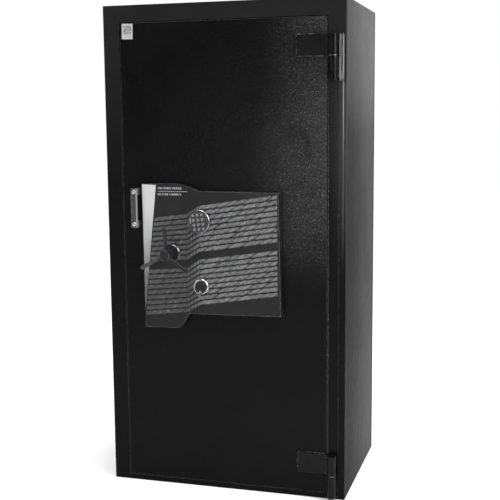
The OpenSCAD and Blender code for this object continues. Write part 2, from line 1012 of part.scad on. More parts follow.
module key_bolt() {
    color("#b08d4c") span(
        [key_bolt_left, rod_y - 1, key_bolt_z - key_bolt_h / 2],
        [key_bolt_left + 46, rod_y + rod_t + 1, key_bolt_z + key_bolt_h / 2]
    );
}

side_panels();
top_panel();
base_panel();
back_panel();
left_jamb();
right_jamb();
top_rail();
bottom_sill();
door_stop();
door_seal();
fire_boards();
inner_lining();
frame_hinges();
hinge_pins();
hinge_washers();
shelf();
shelf_clips();
barrel_rack();
floor_mat();
door_plate();
door_box();
door_board();
door_back();
door_hinges();
dead_bolts();
bolt_guides();
keypad_lock_case();
key_lock_case();
cover();
cover_wedge();
label();
pull_bar();
pull_lugs();
pull_screws();
keypad_base();
keypad_ring();
key_ring();
handle_ring();
spindle();
handle_hub();
handle_spokes();
left_carrier();
left_bolts();
top_bolts();
bottom_bolts();
swing_bolt();
key_bolt();
key_flap();
button(0, 0);  // key_1
button(1, 0);  // key_2
button(2, 0);  // key_3
button(0, 1);  // key_4
button(1, 1);  // key_5
button(2, 1);  // key_6
button(0, 2);  // key_7
button(1, 2);  // key_8
button(2, 2);  // key_9
button(0, 3);  // key_star
button(1, 3);  // key_0
button(2, 3);  // key_hash
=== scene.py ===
import json
import math
import random

import bmesh
import bpy
from mathutils import Matrix, Vector

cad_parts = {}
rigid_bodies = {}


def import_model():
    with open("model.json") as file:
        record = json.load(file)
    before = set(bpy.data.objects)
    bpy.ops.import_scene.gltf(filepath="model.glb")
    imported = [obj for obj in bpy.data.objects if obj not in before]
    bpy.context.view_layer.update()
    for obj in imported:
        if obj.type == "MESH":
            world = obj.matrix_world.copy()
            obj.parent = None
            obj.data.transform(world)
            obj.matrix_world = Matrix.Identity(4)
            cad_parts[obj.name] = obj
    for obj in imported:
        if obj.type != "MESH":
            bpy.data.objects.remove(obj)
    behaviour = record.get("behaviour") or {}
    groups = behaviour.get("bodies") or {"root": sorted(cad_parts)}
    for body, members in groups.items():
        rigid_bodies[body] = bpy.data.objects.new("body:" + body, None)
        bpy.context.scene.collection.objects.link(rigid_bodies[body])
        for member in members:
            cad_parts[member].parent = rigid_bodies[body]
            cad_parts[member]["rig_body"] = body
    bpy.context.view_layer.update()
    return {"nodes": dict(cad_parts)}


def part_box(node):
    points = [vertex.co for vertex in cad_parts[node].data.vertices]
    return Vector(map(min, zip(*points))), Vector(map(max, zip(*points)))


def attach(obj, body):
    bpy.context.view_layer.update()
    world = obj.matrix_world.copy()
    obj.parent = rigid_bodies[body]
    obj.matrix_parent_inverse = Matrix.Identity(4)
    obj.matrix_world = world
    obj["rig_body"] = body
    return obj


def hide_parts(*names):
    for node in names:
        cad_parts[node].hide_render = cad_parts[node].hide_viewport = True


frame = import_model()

NODES = frame["nodes"]
MM = 0.001
SEED = 7

# ---------------------------------------------------------------- camera, lights, floor

CAMERA_AT = (0.9277, -3.1148, 1.1851)
CAMERA_YAW = 16.41
CAMERA_PITCH = -7.90
CAMERA_ROLL = -0.51
CAMERA_LENS = 70.55


def add_camera():
    data = bpy.data.cameras.new("photo_camera")
    data.sensor_width = 36.0
    data.lens = CAMERA_LENS
    camera = bpy.data.objects.new("photo_camera", data)
    bpy.context.scene.collection.objects.link(camera)
    turn = Matrix.Rotation(math.radians(CAMERA_YAW), 4, "Z")
    turn = turn @ Matrix.Rotation(math.radians(90 + CAMERA_PITCH), 4, "X")
    turn = turn @ Matrix.Rotation(math.radians(CAMERA_ROLL), 4, "Z")
    camera.matrix_world = Matrix.Translation(CAMERA_AT) @ turn
    bpy.context.scene.camera = camera


def add_area(name, at, target, size, watts, shape="RECTANGLE"):
    data = bpy.data.lights.new(name, "AREA")
    data.shape = shape
    data.size = size[0]
    data.size_y = size[1]
    data.energy = watts
    light = bpy.data.objects.new(name, data)
    bpy.context.scene.collection.objects.link(light)
    direction = Vector(target) - Vector(at)
    light.matrix_world = Matrix.Translation(at) @ direction.to_track_quat("-Z", "Y").to_matrix().to_4x4()
    return light


def add_sun(name, toward, strength):
    """A wide soft sun from above, which whitens the floor and leaves the front of the safe dark."""
    data = bpy.data.lights.new(name, "SUN")
    data.energy = strength
    data.angle = math.radians(40)
    light = bpy.data.objects.new(name, data)
    bpy.context.scene.collection.objects.link(light)
    light.matrix_world = Vector(toward).to_track_quat("Z", "Y").to_matrix().to_4x4()


def add_world():
    """White to the camera; the room that the paint reflects is darker in front of the safe."""
    world = bpy.data.worlds.new("studio")
    bpy.context.scene.world = world
    world.use_nodes = True
    tree = world.node_tree
    tree.nodes.clear()
    out = tree.nodes.new("ShaderNodeOutputWorld")
    mix = tree.nodes.new("ShaderNodeMixShader")
    seen = tree.nodes.new("ShaderNodeBackground")
    seen.inputs["Color"].default_value = (1, 1, 1, 1)
    room = tree.nodes.new("ShaderNodeBackground")
    coords = tree.nodes.new("ShaderNodeTexCoord")
    split = tree.nodes.new("ShaderNodeSeparateXYZ")
    ramp = tree.nodes.new("ShaderNodeMapRange")
    ramp.inputs["From Min"].default_value = -0.5
    ramp.inputs["From Max"].default_value = 0.6
    ramp.inputs["To Min"].default_value = 0.01
    ramp.inputs["To Max"].default_value = 0.90
    path = tree.nodes.new("ShaderNodeLightPath")
    tree.links.new(coords.outputs["Generated"], split.inputs[0])
    tree.links.new(split.outputs["Y"], ramp.inputs["Value"])
    tree.links.new(ramp.outputs["Result"], room.inputs["Strength"])
    tree.links.new(path.outputs["Is Camera Ray"], mix.inputs["Fac"])
    tree.links.new(room.outputs[0], mix.inputs[1])
    tree.links.new(seen.outputs[0], mix.inputs[2])
    tree.links.new(mix.outputs[0], out.inputs["Surface"])


def add_stage():
    add_world()
    bpy.context.scene.view_settings.view_transform = "Standard"
    add_area("softbox_front", (-0.66, -4.0, 0.98), (0.2, -0.26, 1.0), (0.36, 0.62), 14)
    add_area("softbox_left", (-3.0, -2.9, 2.9), (0.0, -0.26, 0.9), (1.4, 1.4), 62)
    add_area("softbox_right", (2.50, -0.95, 2.30), (-0.1, -0.28, 0.8), (1.0, 2.0), 85)
    add_area("softbox_top", (0.2, -1.3, 3.6), (0.0, -0.6, 0.0), (2.4, 1.6), 50)
    add_sun("sun_top", (0.25, 0.35, 3.0), 2.5)
    half = 12.0
    mesh = bpy.data.meshes.new("floor")
    mesh.from_pydata([(-half, -half, 0), (half, -half, 0), (half, half, 0), (-half, half, 0)], [], [(0, 1, 2, 3)])
    floor = bpy.data.objects.new("floor", mesh)
    bpy.context.scene.collection.objects.link(floor)
    paint = Paint("floor_paint", (0.93, 0.93, 0.93), rough=0.7, spec=0.2)
    paint.bump(paint.noise(40, 4), 0.05, 0.001)
    floor.data.materials.append(paint.material)


# ---------------------------------------------------------------- materials


class Paint:
    """A Principled material that is built up from noise, wear and bump layers in object coordinates."""

    def __init__(self, name, base, rough=0.5, metal=0.0, spec=0.5, coat=0.0):
        self.material = bpy.data.materials.new(name)
        self.material.use_nodes = True
        self.tree = self.material.node_tree
        self.shader = self.tree.nodes["Principled BSDF"]
        self.shader.inputs["Base Color"].default_value = (*base, 1)
        self.shader.inputs["Roughness"].default_value = rough
        self.shader.inputs["Metallic"].default_value = metal
        self.shader.inputs["Specular IOR Level"].default_value = spec
        self.shader.inputs["Coat Weight"].default_value = coat
        self.coords = self.tree.nodes.new("ShaderNodeTexCoord").outputs["Object"]
        self.base = base

    def node(self, kind, **values):
        made = self.tree.nodes.new(kind)
        for key, value in values.items():
            setattr(made, key, value)
        return made

    def link(self, a, b):
        self.tree.links.new(a, b)

    def stretched(self, scale):
        """Object coordinates stretched by scale, for grain that runs one way."""
        mapping = self.node("ShaderNodeMapping")
        mapping.inputs["Scale"].default_value = scale
        self.link(self.coords, mapping.inputs["Vector"])
        return mapping.outputs[0]

    def noise(self, scale, detail=2.0, roughness=0.5, coords=None, distortion=0.0):
        made = self.node("ShaderNodeTexNoise")
        made.inputs["Scale"].default_value = scale
        made.inputs["Detail"].default_value = detail
        made.inputs["Roughness"].default_value = roughness
        made.inputs["Distortion"].default_value = distortion
        self.link(coords or self.coords, made.inputs["Vector"])
        return made.outputs["Fac"]

    def cells(self, scale, feature="F1", coords=None):
        made = self.node("ShaderNodeTexVoronoi", feature=feature)
        made.inputs["Scale"].default_value = scale
        self.link(coords or self.coords, made.inputs["Vector"])
        return made.outputs["Distance"]

    def ranged(self, value, low, high, to_low=0.0, to_high=1.0):
        made = self.node("ShaderNodeMapRange", interpolation_type="SMOOTHSTEP")
        made.inputs["From Min"].default_value = low
        made.inputs["From Max"].default_value = high
        made.inputs["To Min"].default_value = to_low
        made.inputs["To Max"].default_value = to_high
        self.link(value, made.inputs["Value"])
        return made.outputs["Result"]

    def math(self, operation, a, b):
        made = self.node("ShaderNodeMath", operation=operation)
        for place, value in enumerate((a, b)):
            if isinstance(value, (int, float)):
                made.inputs[place].default_value = value
            else:
                self.link(value, made.inputs[place])
        return made.outputs[0]

    def axis(self, name):
        """One of the object's own coordinates, in metres."""
        made = self.node("ShaderNodeSeparateXYZ")
        self.link(self.coords, made.inputs[0])
        return made.outputs[name]

    def tint(self, mask, colour):
        """Mixes colour into the base colour where mask is 1."""
        mix = self.node("ShaderNodeMix", data_type="RGBA")
        slot = self.shader.inputs["Base Color"]
        if slot.is_linked:
            self.link(slot.links[0].from_socket, mix.inputs["A"])
        else:
            mix.inputs["A"].default_value = slot.default_value
        mix.inputs["B"].default_value = (*colour, 1)
        self.link(mask, mix.inputs["Factor"])
        self.link(mix.outputs["Result"], slot)
        return self

    def rough(self, mask, value):
        """Mixes value into the roughness where mask is 1."""
        mix = self.node("ShaderNodeMix", data_type="FLOAT")
        slot = self.shader.inputs["Roughness"]
        if slot.is_linked:
            self.link(slot.links[0].from_socket, mix.inputs["A"])
        else:
            mix.inputs["A"].default_value = slot.default_value
        mix.inputs["B"].default_value = value
        self.link(mask, mix.inputs["Factor"])
        self.link(mix.outputs["Result"], slot)
        return self

    def spec(self, mask, value):
        """Mixes value into the specular level where mask is 1."""
        mix = self.node("ShaderNodeMix", data_type="FLOAT")
        slot = self.shader.inputs["Specular IOR Level"]
        if slot.is_linked:
            self.link(slot.links[0].from_socket, mix.inputs["A"])
        else:
            mix.inputs["A"].default_value = slot.default_value
        mix.inputs["B"].default_value = value
        self.link(mask, mix.inputs["Factor"])
        self.link(mix.outputs["Result"], slot)
        return self

    def bump(self, height, strength, distance):
        """Adds a bump layer over the ones already there."""
        made = self.node("ShaderNodeBump")
        made.inputs["Strength"].default_value = strength
        made.inputs["Distance"].default_value = distance
        self.link(height, made.inputs["Height"])
        slot = self.shader.inputs["Normal"]
        if slot.is_linked:
            self.link(slot.links[0].from_socket, made.inputs["Normal"])
        self.link(made.outputs[0], slot)
        return self

    def edges(self, radius, low=0.02, high=0.16):
        """1 along sharp edges, from how far a rounded normal leans away from the flat one."""
        rounded = self.node("ShaderNodeBevel", samples=4)
        rounded.inputs["Radius"].default_value = radius
        flat = self.node("ShaderNodeNewGeometry")
        dot = self.node("ShaderNodeVectorMath", operation="DOT_PRODUCT")
        self.link(rounded.outputs[0], dot.inputs[0])
        self.link(flat.outputs["True Normal"], dot.inputs[1])
        lean = self.math("SUBTRACT", 1.0, dot.outputs["Value"])
        return self.ranged(lean, low, high)

    def wear(self, radius, colour, amount=0.5, scale=60):
        """Chipped, rubbed paint along the edges; where its colour is lighter than the surface it is also a painted
        highlight along those edges.
        """
        broken = self.ranged(self.noise(scale, 6, 0.7), 1.0 - amount - 0.12, 1.0 - amount + 0.12)
        mask = self.math("MULTIPLY", self.edges(radius), broken)
        self.tint(mask, colour)
        return mask


def black_coat(name):
    """Sprayed satin black over steel, with coarse orange peel and rubbed edges."""
    p = Paint(name, (0.0020, 0.0020, 0.0022), rough=0.26, spec=0.062)
    cloud = p.ranged(p.noise(2.2, 4, 0.6), 0.35, 0.70)
    p.tint(p.math("MULTIPLY", cloud, 0.5), (0.0045, 0.0045, 0.0048))
    p.wear(1.6 * MM, (0.17, 0.17, 0.175), amount=0.52, scale=170)
    p.rough(p.ranged(p.noise(9, 5, 0.6), 0.35, 0.75), 0.36)
    p.bump(p.noise(7, 3, 0.5), 0.10, 0.004)
    p.bump(p.noise(110, 3, 0.6), 0.45, 0.0012)
    p.bump(p.noise(320, 3, 0.6), 0.45, 0.0006)
    return p


def door_paint():
    """Black coat of the door, with a painted reflection on its hinge side: a lighter haze strewn with bright dots."""
    p = black_coat("black_paint")
    # Painted reflection: a lighter haze and bright dots over the hinge-side part of the door, where a lamp's sheen
    # spreads over the orange peel.
    across = p.math("SUBTRACT", p.axis("X"), p.math("MULTIPLY", p.ranged(p.axis("Z"), 0.90, 1.30), 0.07))
    area = p.math("MULTIPLY", p.ranged(across, 0.03, 0.31), p.ranged(p.axis("Z"), 0.64, 0.91))
    sheen_patch = p.math("MULTIPLY", area, p.ranged(p.noise(7, 5, 0.65), 0.24, 0.52))
    sheen_specks = p.ranged(p.noise(210, 4, 0.78), 0.51, 0.66)
    p.tint(p.math("MULTIPLY", sheen_patch, 0.7), (0.023, 0.023, 0.0235))
    p.tint(p.math("MULTIPLY", sheen_specks, p.math("ADD", p.math("MULTIPLY", sheen_patch, 0.95), 0.02)), (0.085, 0.085, 0.086))
    return p.material


def frame_paint():
    """Black coat of the frame, lighter towards the top, with painted highlights on the hinge-side jamb beside the
    upper hinge and down its outer corner, and a painted reflection on the jamb lower down.
    """
    p = black_coat("frame_paint")
    height = p.axis("Z")
    across = p.axis("X")
    p.tint(p.ranged(height, 0.85, 1.45), (0.0105, 0.0105, 0.0108))
    # Painted highlight: bright streaks on the jamb beside the upper hinge, where its edges catch the lamp.
    strip = p.math("MULTIPLY", p.ranged(height, 1.274, 1.292), p.ranged(height, 1.417, 1.409))
    strip = p.math("MULTIPLY", strip, p.ranged(across, 0.3622, 0.3634))
    strip = p.math("MULTIPLY", strip, p.ranged(across, 0.3775, 0.3765))
    streaks = p.ranged(p.noise(1.0, 3, 0.6, p.stretched((420, 420, 9))), 0.38, 0.56)
    p.tint(p.math("MULTIPLY", strip, streaks), (0.24, 0.24, 0.245))
    below = p.ranged(height, 1.285, 1.27)
    # Painted reflection: a lighter sheen over the hinge-side jamb below the upper hinge.
    sheen = p.math("MULTIPLY", p.ranged(across, 0.337, 0.382), p.ranged(height, 0.66, 1.10))
    p.tint(p.math("MULTIPLY", p.math("MULTIPLY", sheen, below), 0.75), (0.034, 0.034, 0.035))
    # Painted highlight: a bright line down the outer corner of the hinge-side jamb, dim lower down and brighter just
    # below the upper hinge.
    line = p.math("MULTIPLY", p.ranged(across, 0.3732, 0.3740), p.ranged(across, 0.3770, 0.3762))
    line = p.math("MULTIPLY", line, below)
    p.tint(p.math("MULTIPLY", p.math("MULTIPLY", line, p.ranged(height, 0.70, 0.94)), 0.8), (0.070, 0.070, 0.072))
    p.tint(p.math("MULTIPLY", p.math("MULTIPLY", line, p.ranged(height, 1.02, 1.22)), 0.8), (0.24, 0.24, 0.245))
    side = p.ranged(across, 0.3818, 0.3826)
    p.spec(side, 0.0030)
    p.spec(p.math("MULTIPLY", side, p.ranged(height, 1.15, 1.45)), 0.020)
    return p.material


def paint_smooth():
    """Brushed satin black of the hinges, smoother than the door."""
    p = Paint("hinge_paint", (0.0022, 0.0022, 0.0024), rough=0.24, spec=0.12)
    p.tint(p.math("MULTIPLY", p.ranged(p.noise(30, 4, 0.6), 0.45, 0.75), 0.6), (0.006, 0.006, 0.0065))
    p.wear(1.4 * MM, (0.20, 0.20, 0.21), amount=0.42, scale=90)
    p.rough(p.ranged(p.noise(35, 5), 0.4, 0.7), 0.42)
    p.bump(p.noise(60, 3, 0.5), 0.18, 0.0012)
    p.bump(p.noise(500, 2, 0.5), 0.12, 0.0004)
    return p.material


def paint_panel():
    """Satin black of the body, with dust, faint upright streaks and shallow dents, and on its right side painted light
    that grows lighter towards the back.
    """
    p = Paint("panel_paint", (0.0060, 0.0060, 0.0064), rough=0.34, spec=0.06)
    height = p.axis("Z")
    right = p.ranged(p.axis("X"), 0.376, 0.382)
    p.spec(right, 0.55)
    p.spec(p.math("MULTIPLY", right, p.ranged(height, 1.52, 1.10)), 0.026)
    p.spec(p.math("MULTIPLY", right, p.ranged(height, 1.18, 0.78)), 0.0062)
    depth = p.axis("Y")
    p.spec(p.math("MULTIPLY", p.math("MULTIPLY", right, p.ranged(depth, 0.10, -0.24)), 0.7), 0.0025)
    # Painted light: the right side grows lighter towards the back. A narrow band along its back edge is darker.
    p.tint(p.math("MULTIPLY", right, p.ranged(depth, -0.16, 0.27)), (0.050, 0.050, 0.051))
    rear = p.math("MULTIPLY", right, p.ranged(depth, 0.232, 0.240))
    p.tint(p.math("MULTIPLY", rear, 0.8), (0.010, 0.010, 0.0102))
    p.spec(p.math("MULTIPLY", rear, 0.6), 0.0025)
    streak = p.ranged(p.noise(1.0, 6, 0.6, p.stretched((38, 38, 1.2))), 0.40, 0.70)
    p.tint(p.math("MULTIPLY", streak, 0.45), (0.020, 0.020, 0.021))
    dust = p.ranged(p.noise(1.4, 6, 0.7), 0.45, 0.75)
    p.tint(p.math("MULTIPLY", dust, 0.5), (0.026, 0.026, 0.027))
    mottle = p.ranged(p.noise(52, 7, 0.8), 0.42, 0.66)
    p.tint(p.math("MULTIPLY", mottle, 0.35), (0.026, 0.026, 0.027))
    scuffs = p.ranged(p.noise(26, 8, 0.8, p.stretched((1, 1, 0.5)), 1.0), 0.64, 0.72)
    p.tint(p.math("MULTIPLY", scuffs, 0.4), (0.09, 0.09, 0.092))
    p.wear(1.8 * MM, (0.14, 0.14, 0.145), amount=0.40)
    p.rough(dust, 0.46)
    p.bump(p.noise(2.6, 3, 0.5), 0.20, 0.012)
    p.bump(p.noise(45, 4, 0.6), 0.50, 0.0030)
    p.bump(p.noise(300, 3, 0.6), 0.40, 0.0008)
    return p.material


def paint_seam():
    """Dark line of filler where the body meets the front frame."""
    p = Paint("seam_paint", (0.004, 0.004, 0.004), rough=0.6, spec=0.2)
    p.bump(p.noise(200, 3), 0.3, 0.0006)
    return p.material


def moulded_dark():
    """Moulded dark cover with a fine spark-eroded grain and rubbed edges."""
    p = Paint("moulded_cover", (0.0075, 0.0075, 0.0080), rough=0.34, spec=0.16)
    p.tint(p.math("MULTIPLY", p.ranged(p.noise(12, 5, 0.6), 0.4, 0.7), 0.5), (0.015, 0.015, 0.016))
    p.wear(1.8 * MM, (0.24, 0.24, 0.25), amount=0.55, scale=40)
    p.rough(p.ranged(p.noise(20, 4), 0.4, 0.7), 0.50)
    p.bump(p.cells(1100), 0.16, 0.0003)
    p.bump(p.noise(300, 2), 0.10, 0.0004)
    return p.material


def rib_silver():
    """Silver-grey over the tops of the ropes, with dark moulding in their grooves. The grading from groove to top is
    also painted shade across each rope, and bright blobs on their flanks are painted glints.
    """
    p = Paint("rib_silver", (0.010, 0.010, 0.0105), rough=0.46, spec=0.25)
    y = p.axis("Y")
    # Silver on the raised tops, and also painted shade: the ropes are dark at their foot and light on their tops.
    flank = p.ranged(y, COVER_FRONT - 0.20 * MM, COVER_FRONT - 0.45 * RIB_PROUD)
    top = p.ranged(y, COVER_FRONT - 0.40 * RIB_PROUD, COVER_FRONT - 0.95 * RIB_PROUD)
    p.tint(flank, (0.088, 0.088, 0.090))
    p.tint(top, (0.180, 0.180, 0.183))
    left = p.ranged(p.axis("X"), FOLD_RIGHT + 10 * MM, FOLD_LEFT)
    p.tint(p.math("MULTIPLY", p.math("MULTIPLY", left, flank), 0.85), (0.050, 0.050, 0.052))
    low_left = p.math("MULTIPLY", left, p.ranged(p.axis("Z"), 0.74, 0.60))
    p.tint(p.math("MULTIPLY", low_left, 0.45), (0.020, 0.020, 0.021))
    grime = p.ranged(p.noise(150, 5, 0.75), 0.44, 0.62)
    p.tint(p.math("MULTIPLY", grime, 0.72), (0.040, 0.040, 0.042))
    # Painted glints: bright blobs on the flanks of the ropes.
    shine = p.ranged(p.noise(95, 4, 0.7, distortion=0.6), 0.56, 0.70)
    p.tint(p.math("MULTIPLY", p.math("MULTIPLY", shine, flank), 0.45), (0.26, 0.26, 0.265))
    p.rough(grime, 0.60)
    p.bump(p.noise(600, 3, 0.6), 0.30, 0.0004)
    return p.material


def brushed_silver(name="silver_trim", base=(0.60, 0.60, 0.61), rough=0.34, scale=(30, 600, 600)):
    """Satin metal with a fine grain along one axis and fine scratches."""
    p = Paint(name, base, rough=rough, metal=0.85, spec=0.5)
    grain = p.noise(1.0, 4, 0.6, p.stretched(scale))
    p.tint(p.math("MULTIPLY", p.ranged(grain, 0.35, 0.7), 0.35), tuple(0.62 * c for c in base))
    p.rough(p.ranged(p.noise(70, 5), 0.4, 0.7), rough + 0.14)
    p.bump(grain, 0.10, 0.0003)
    return p.material


def wedge_silver():
    """Silver lacquer on the wedge, lighter at the top and darker towards its point."""
    p = Paint("wedge_silver", (0.46, 0.46, 0.46), rough=0.42, metal=0.10, spec=0.5)
    low = p.ranged(p.axis("Z"), 0.93, 0.62)
    p.tint(p.math("MULTIPLY", low, 0.94), (0.045, 0.045, 0.046))
    p.tint(p.math("MULTIPLY", p.ranged(p.noise(60, 6, 0.7), 0.55, 0.72), 0.30), (0.42, 0.42, 0.43))
    p.wear(1.2 * MM, (0.10, 0.10, 0.10), amount=0.30)
    p.bump(p.noise(1.0, 3, 0.5, p.stretched((600, 600, 40))), 0.08, 0.0003)
    return p.material


def chrome(name="chrome", shade=0.34):
    """Satin plating with finger smears and a few fine scratches."""
    p = Paint(name, (shade, shade, 1.02 * shade), rough=0.26, metal=1.0)
    smear = p.ranged(p.noise(45, 6, 0.7), 0.45, 0.75)
    p.tint(p.math("MULTIPLY", smear, 0.35), (0.7 * shade, 0.7 * shade, 0.72 * shade))
    p.rough(smear, 0.38)
    p.bump(p.noise(260, 4, 0.6), 0.04, 0.0002)
    return p.material


def black_chrome():
    """Dark polished boss behind the handle."""
    p = Paint("black_chrome", (0.085, 0.085, 0.088), rough=0.25, metal=0.9)
    smear = p.ranged(p.noise(60, 6, 0.7), 0.45, 0.75)
    p.tint(p.math("MULTIPLY", smear, 0.5), (0.110, 0.110, 0.114))
    p.rough(smear, 0.30)
    p.bump(p.noise(220, 4, 0.6), 0.05, 0.0003)
    return p.material


def handle_grey():
    """Dark grey hammered lacquer of the handle."""
    p = Paint("handle_grey", (0.0085, 0.0085, 0.0095), rough=0.30, metal=0.10, spec=0.20)
    p.tint(p.math("MULTIPLY", p.ranged(p.noise(50, 5, 0.6), 0.45, 0.7), 0.5), (0.018, 0.018, 0.020))
    # Painted highlight: the lower left spoke made lighter, where it catches the light.
    left_spoke_highlight = p.math("MULTIPLY", p.ranged(p.axis("X"), -0.172, -0.190), p.ranged(p.axis("Z"), 0.790, 0.770))
    p.tint(p.math("MULTIPLY", left_spoke_highlight, 0.55), (0.075, 0.075, 0.077))
    p.wear(1.2 * MM, (0.42, 0.42, 0.43), amount=0.50, scale=110)
    p.rough(p.ranged(p.noise(60, 5), 0.45, 0.7), 0.34)
    p.bump(p.cells(420), 0.14, 0.0005)
    p.bump(p.noise(160, 3), 0.12, 0.0006)
    return p.material


def pull_grey():
    """Grey lacquer of the pull, with a painted highlight on its right side face."""
    p = Paint("pull_grey", (0.036, 0.036, 0.038), rough=0.36, metal=0.25, spec=0.4)
    p.tint(p.math("MULTIPLY", p.ranged(p.noise(50, 5, 0.6), 0.45, 0.7), 0.5), (0.065, 0.065, 0.068))
    # Painted highlight: the pull's right side face made bright, as if lit from the right.
    rubbed = p.ranged(p.axis("X"), -269.5 * MM, -268.4 * MM)
    p.tint(p.math("MULTIPLY", rubbed, 0.85), (0.30, 0.30, 0.305))
    p.wear(1.4 * MM, (0.50, 0.50, 0.51), amount=0.58, scale=110)
    p.rough(p.ranged(p.noise(60, 5), 0.45, 0.7), 0.46)
    p.bump(p.cells(420), 0.14, 0.0005)
    return p.material


def key_plastic():
    p = Paint("key_caps", (0.20, 0.20, 0.205), rough=0.45, spec=0.40)
    p.tint(p.math("MULTIPLY", p.ranged(p.noise(240, 5, 0.7), 0.48, 0.66), 0.7), (0.12, 0.12, 0.123))
    p.wear(0.8 * MM, (0.50, 0.50, 0.51), amount=0.5, scale=200)
    p.bump(p.noise(900, 2), 0.16, 0.0003)
    return p.material


def keypad_face():
    """Mid-grey moulded face of the keypad."""
    p = Paint("keypad_face", (0.022, 0.022, 0.024), rough=0.38, spec=0.35)
    p.tint(p.math("MULTIPLY", p.ranged(p.noise(90, 5, 0.6), 0.45, 0.7), 0.5), (0.045, 0.045, 0.047))
    p.wear(0.8 * MM, (0.20, 0.20, 0.205), amount=0.5, scale=150)
    p.bump(p.cells(900), 0.2, 0.0003)
    p.bump(p.noise(60, 3), 0.12, 0.0010)
    return p.material


def strip_grey():
    p = Paint("strip_grey", (0.16, 0.16, 0.165), rough=0.40, spec=0.5)
    p.tint(p.ranged(p.noise(150, 5, 0.7), 0.45, 0.7), (0.10, 0.10, 0.102))
    p.bump(p.noise(500, 3), 0.1, 0.0003)
    return p.material


def digit_ink():
    p = Paint("digit_ink", (0.02, 0.02, 0.02), rough=0.6, spec=0.3)
    p.tint(p.ranged(p.noise(900, 4, 0.7), 0.62, 0.7), (0.12, 0.12, 0.12))
    p.bump(p.noise(1500, 2), 0.1, 0.0001)
    return p.material


def label_film():
    """White film with a square field of dark cells that stands for a printed code and encodes nothing."""
    p = Paint("label_film", (0.34, 0.34, 0.335), rough=0.42, spec=0.40)
    low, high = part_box("label")
    cx = (low.x + high.x) / 2
    cz = high.z - 19.0 * MM
    cell = 1.45 * MM
    field = 13.0 * MM
    grid = p.node("ShaderNodeVectorMath", operation="SNAP")
    p.link(p.coords, grid.inputs[0])
    grid.inputs[1].default_value = (cell, 1.0, cell)
    random_cell = p.node("ShaderNodeTexWhiteNoise", noise_dimensions="3D")
    p.link(grid.outputs[0], random_cell.inputs["Vector"])
    dark = p.math("GREATER_THAN", random_cell.outputs["Value"], 0.52)
    in_x = p.math("LESS_THAN", p.math("ABSOLUTE", p.math("SUBTRACT", p.axis("X"), cx), 0.0), field)
    in_z = p.math("LESS_THAN", p.math("ABSOLUTE", p.math("SUBTRACT", p.axis("Z"), cz), 0.0), field)
    mask = p.math("MULTIPLY", dark, p.math("MULTIPLY", in_x, in_z))
    p.tint(p.math("MULTIPLY", mask, 0.92), (0.03, 0.03, 0.03))
    line_z = low.z + 8.0 * MM
    line = p.math("LESS_THAN", p.math("ABSOLUTE", p.math("SUBTRACT", p.axis("Z"), line_z), 0.0), 1.1 * MM)
    dash = p.ranged(p.noise(700, 1, 0.5, p.stretched((1, 0, 0.1))), 0.44, 0.50)
    line = p.math("MULTIPLY", p.math("MULTIPLY", line, dash), in_x)
    p.tint(p.math("MULTIPLY", line, 0.45), (0.20, 0.20, 0.20))
    p.tint(p.math("MULTIPLY", p.ranged(p.noise(70, 5), 0.5, 0.75), 0.25), (0.55, 0.55, 0.53))
    p.bump(p.noise(90, 3), 0.08, 0.0005)
    return p.material


def board_fibre():
    p = Paint("fire_board", (0.55, 0.53, 0.48), rough=0.85, spec=0.2)
    p.tint(p.math("MULTIPLY", p.ranged(p.noise(90, 6, 0.7), 0.4, 0.7), 0.5), (0.38, 0.36, 0.33))
    p.bump(p.noise(260, 5, 0.7), 0.5, 0.0010)
    return p.material


def carpet():
    """Short-pile grey carpet."""
    p = Paint("carpet", (0.040, 0.043, 0.050), rough=0.95, spec=0.1)
    pile = p.noise(620, 4, 0.7)
    p.tint(p.ranged(pile, 0.42, 0.66), (0.085, 0.090, 0.102))
    brushed = p.noise(1.0, 5, 0.65, p.stretched((16, 16, 4)), 0.8)
    p.tint(p.math("MULTIPLY", p.ranged(brushed, 0.46, 0.62), 0.55), (0.030, 0.032, 0.038))
    p.shader.inputs["Sheen Weight"].default_value = 0.35
    p.shader.inputs["Sheen Roughness"].default_value = 0.6
    p.bump(pile, 0.9, 0.0016)
    p.bump(p.cells(520), 0.5, 0.0012)
    return p.material


def piping():
    """Dark woven cord."""
    p = Paint("piping_cord", (0.018, 0.019, 0.022), rough=0.85, spec=0.2)
    weave = p.noise(1.0, 3, 0.6, p.stretched((700, 700, 700)))
    p.tint(p.ranged(weave, 0.45, 0.65), (0.050, 0.052, 0.060))
    p.bump(weave, 0.5, 0.0006)
    return p.material


def edge_moulding():
    """Dark grained moulding with rubbed high spots."""
    p = Paint("edge_moulding", (0.014, 0.014, 0.015), rough=0.42, spec=0.4)
    p.tint(p.math("MULTIPLY", p.ranged(p.noise(40, 5, 0.7), 0.48, 0.7), 0.5), (0.040, 0.040, 0.042))
    p.bump(p.cells(800), 0.20, 0.0004)
    return p.material


def rubber():
    p = Paint("rubber", (0.012, 0.012, 0.012), rough=0.75, spec=0.3)
    p.tint(p.math("MULTIPLY", p.ranged(p.noise(180, 4), 0.45, 0.7), 0.6), (0.035, 0.035, 0.034))
    p.bump(p.noise(900, 3), 0.3, 0.0004)
    return p.material


def bronze():
    p = Paint("bronze", (0.50, 0.34, 0.15), rough=0.34, metal=1.0)
    stain = p.ranged(p.noise(110, 5, 0.7), 0.45, 0.7)
    p.tint(p.math("MULTIPLY", stain, 0.6), (0.26, 0.18, 0.09))
    p.rough(stain, 0.5)
    p.bump(p.noise(1.0, 3, 0.5, p.stretched((900, 60, 60))), 0.15, 0.0003)
    return p.material


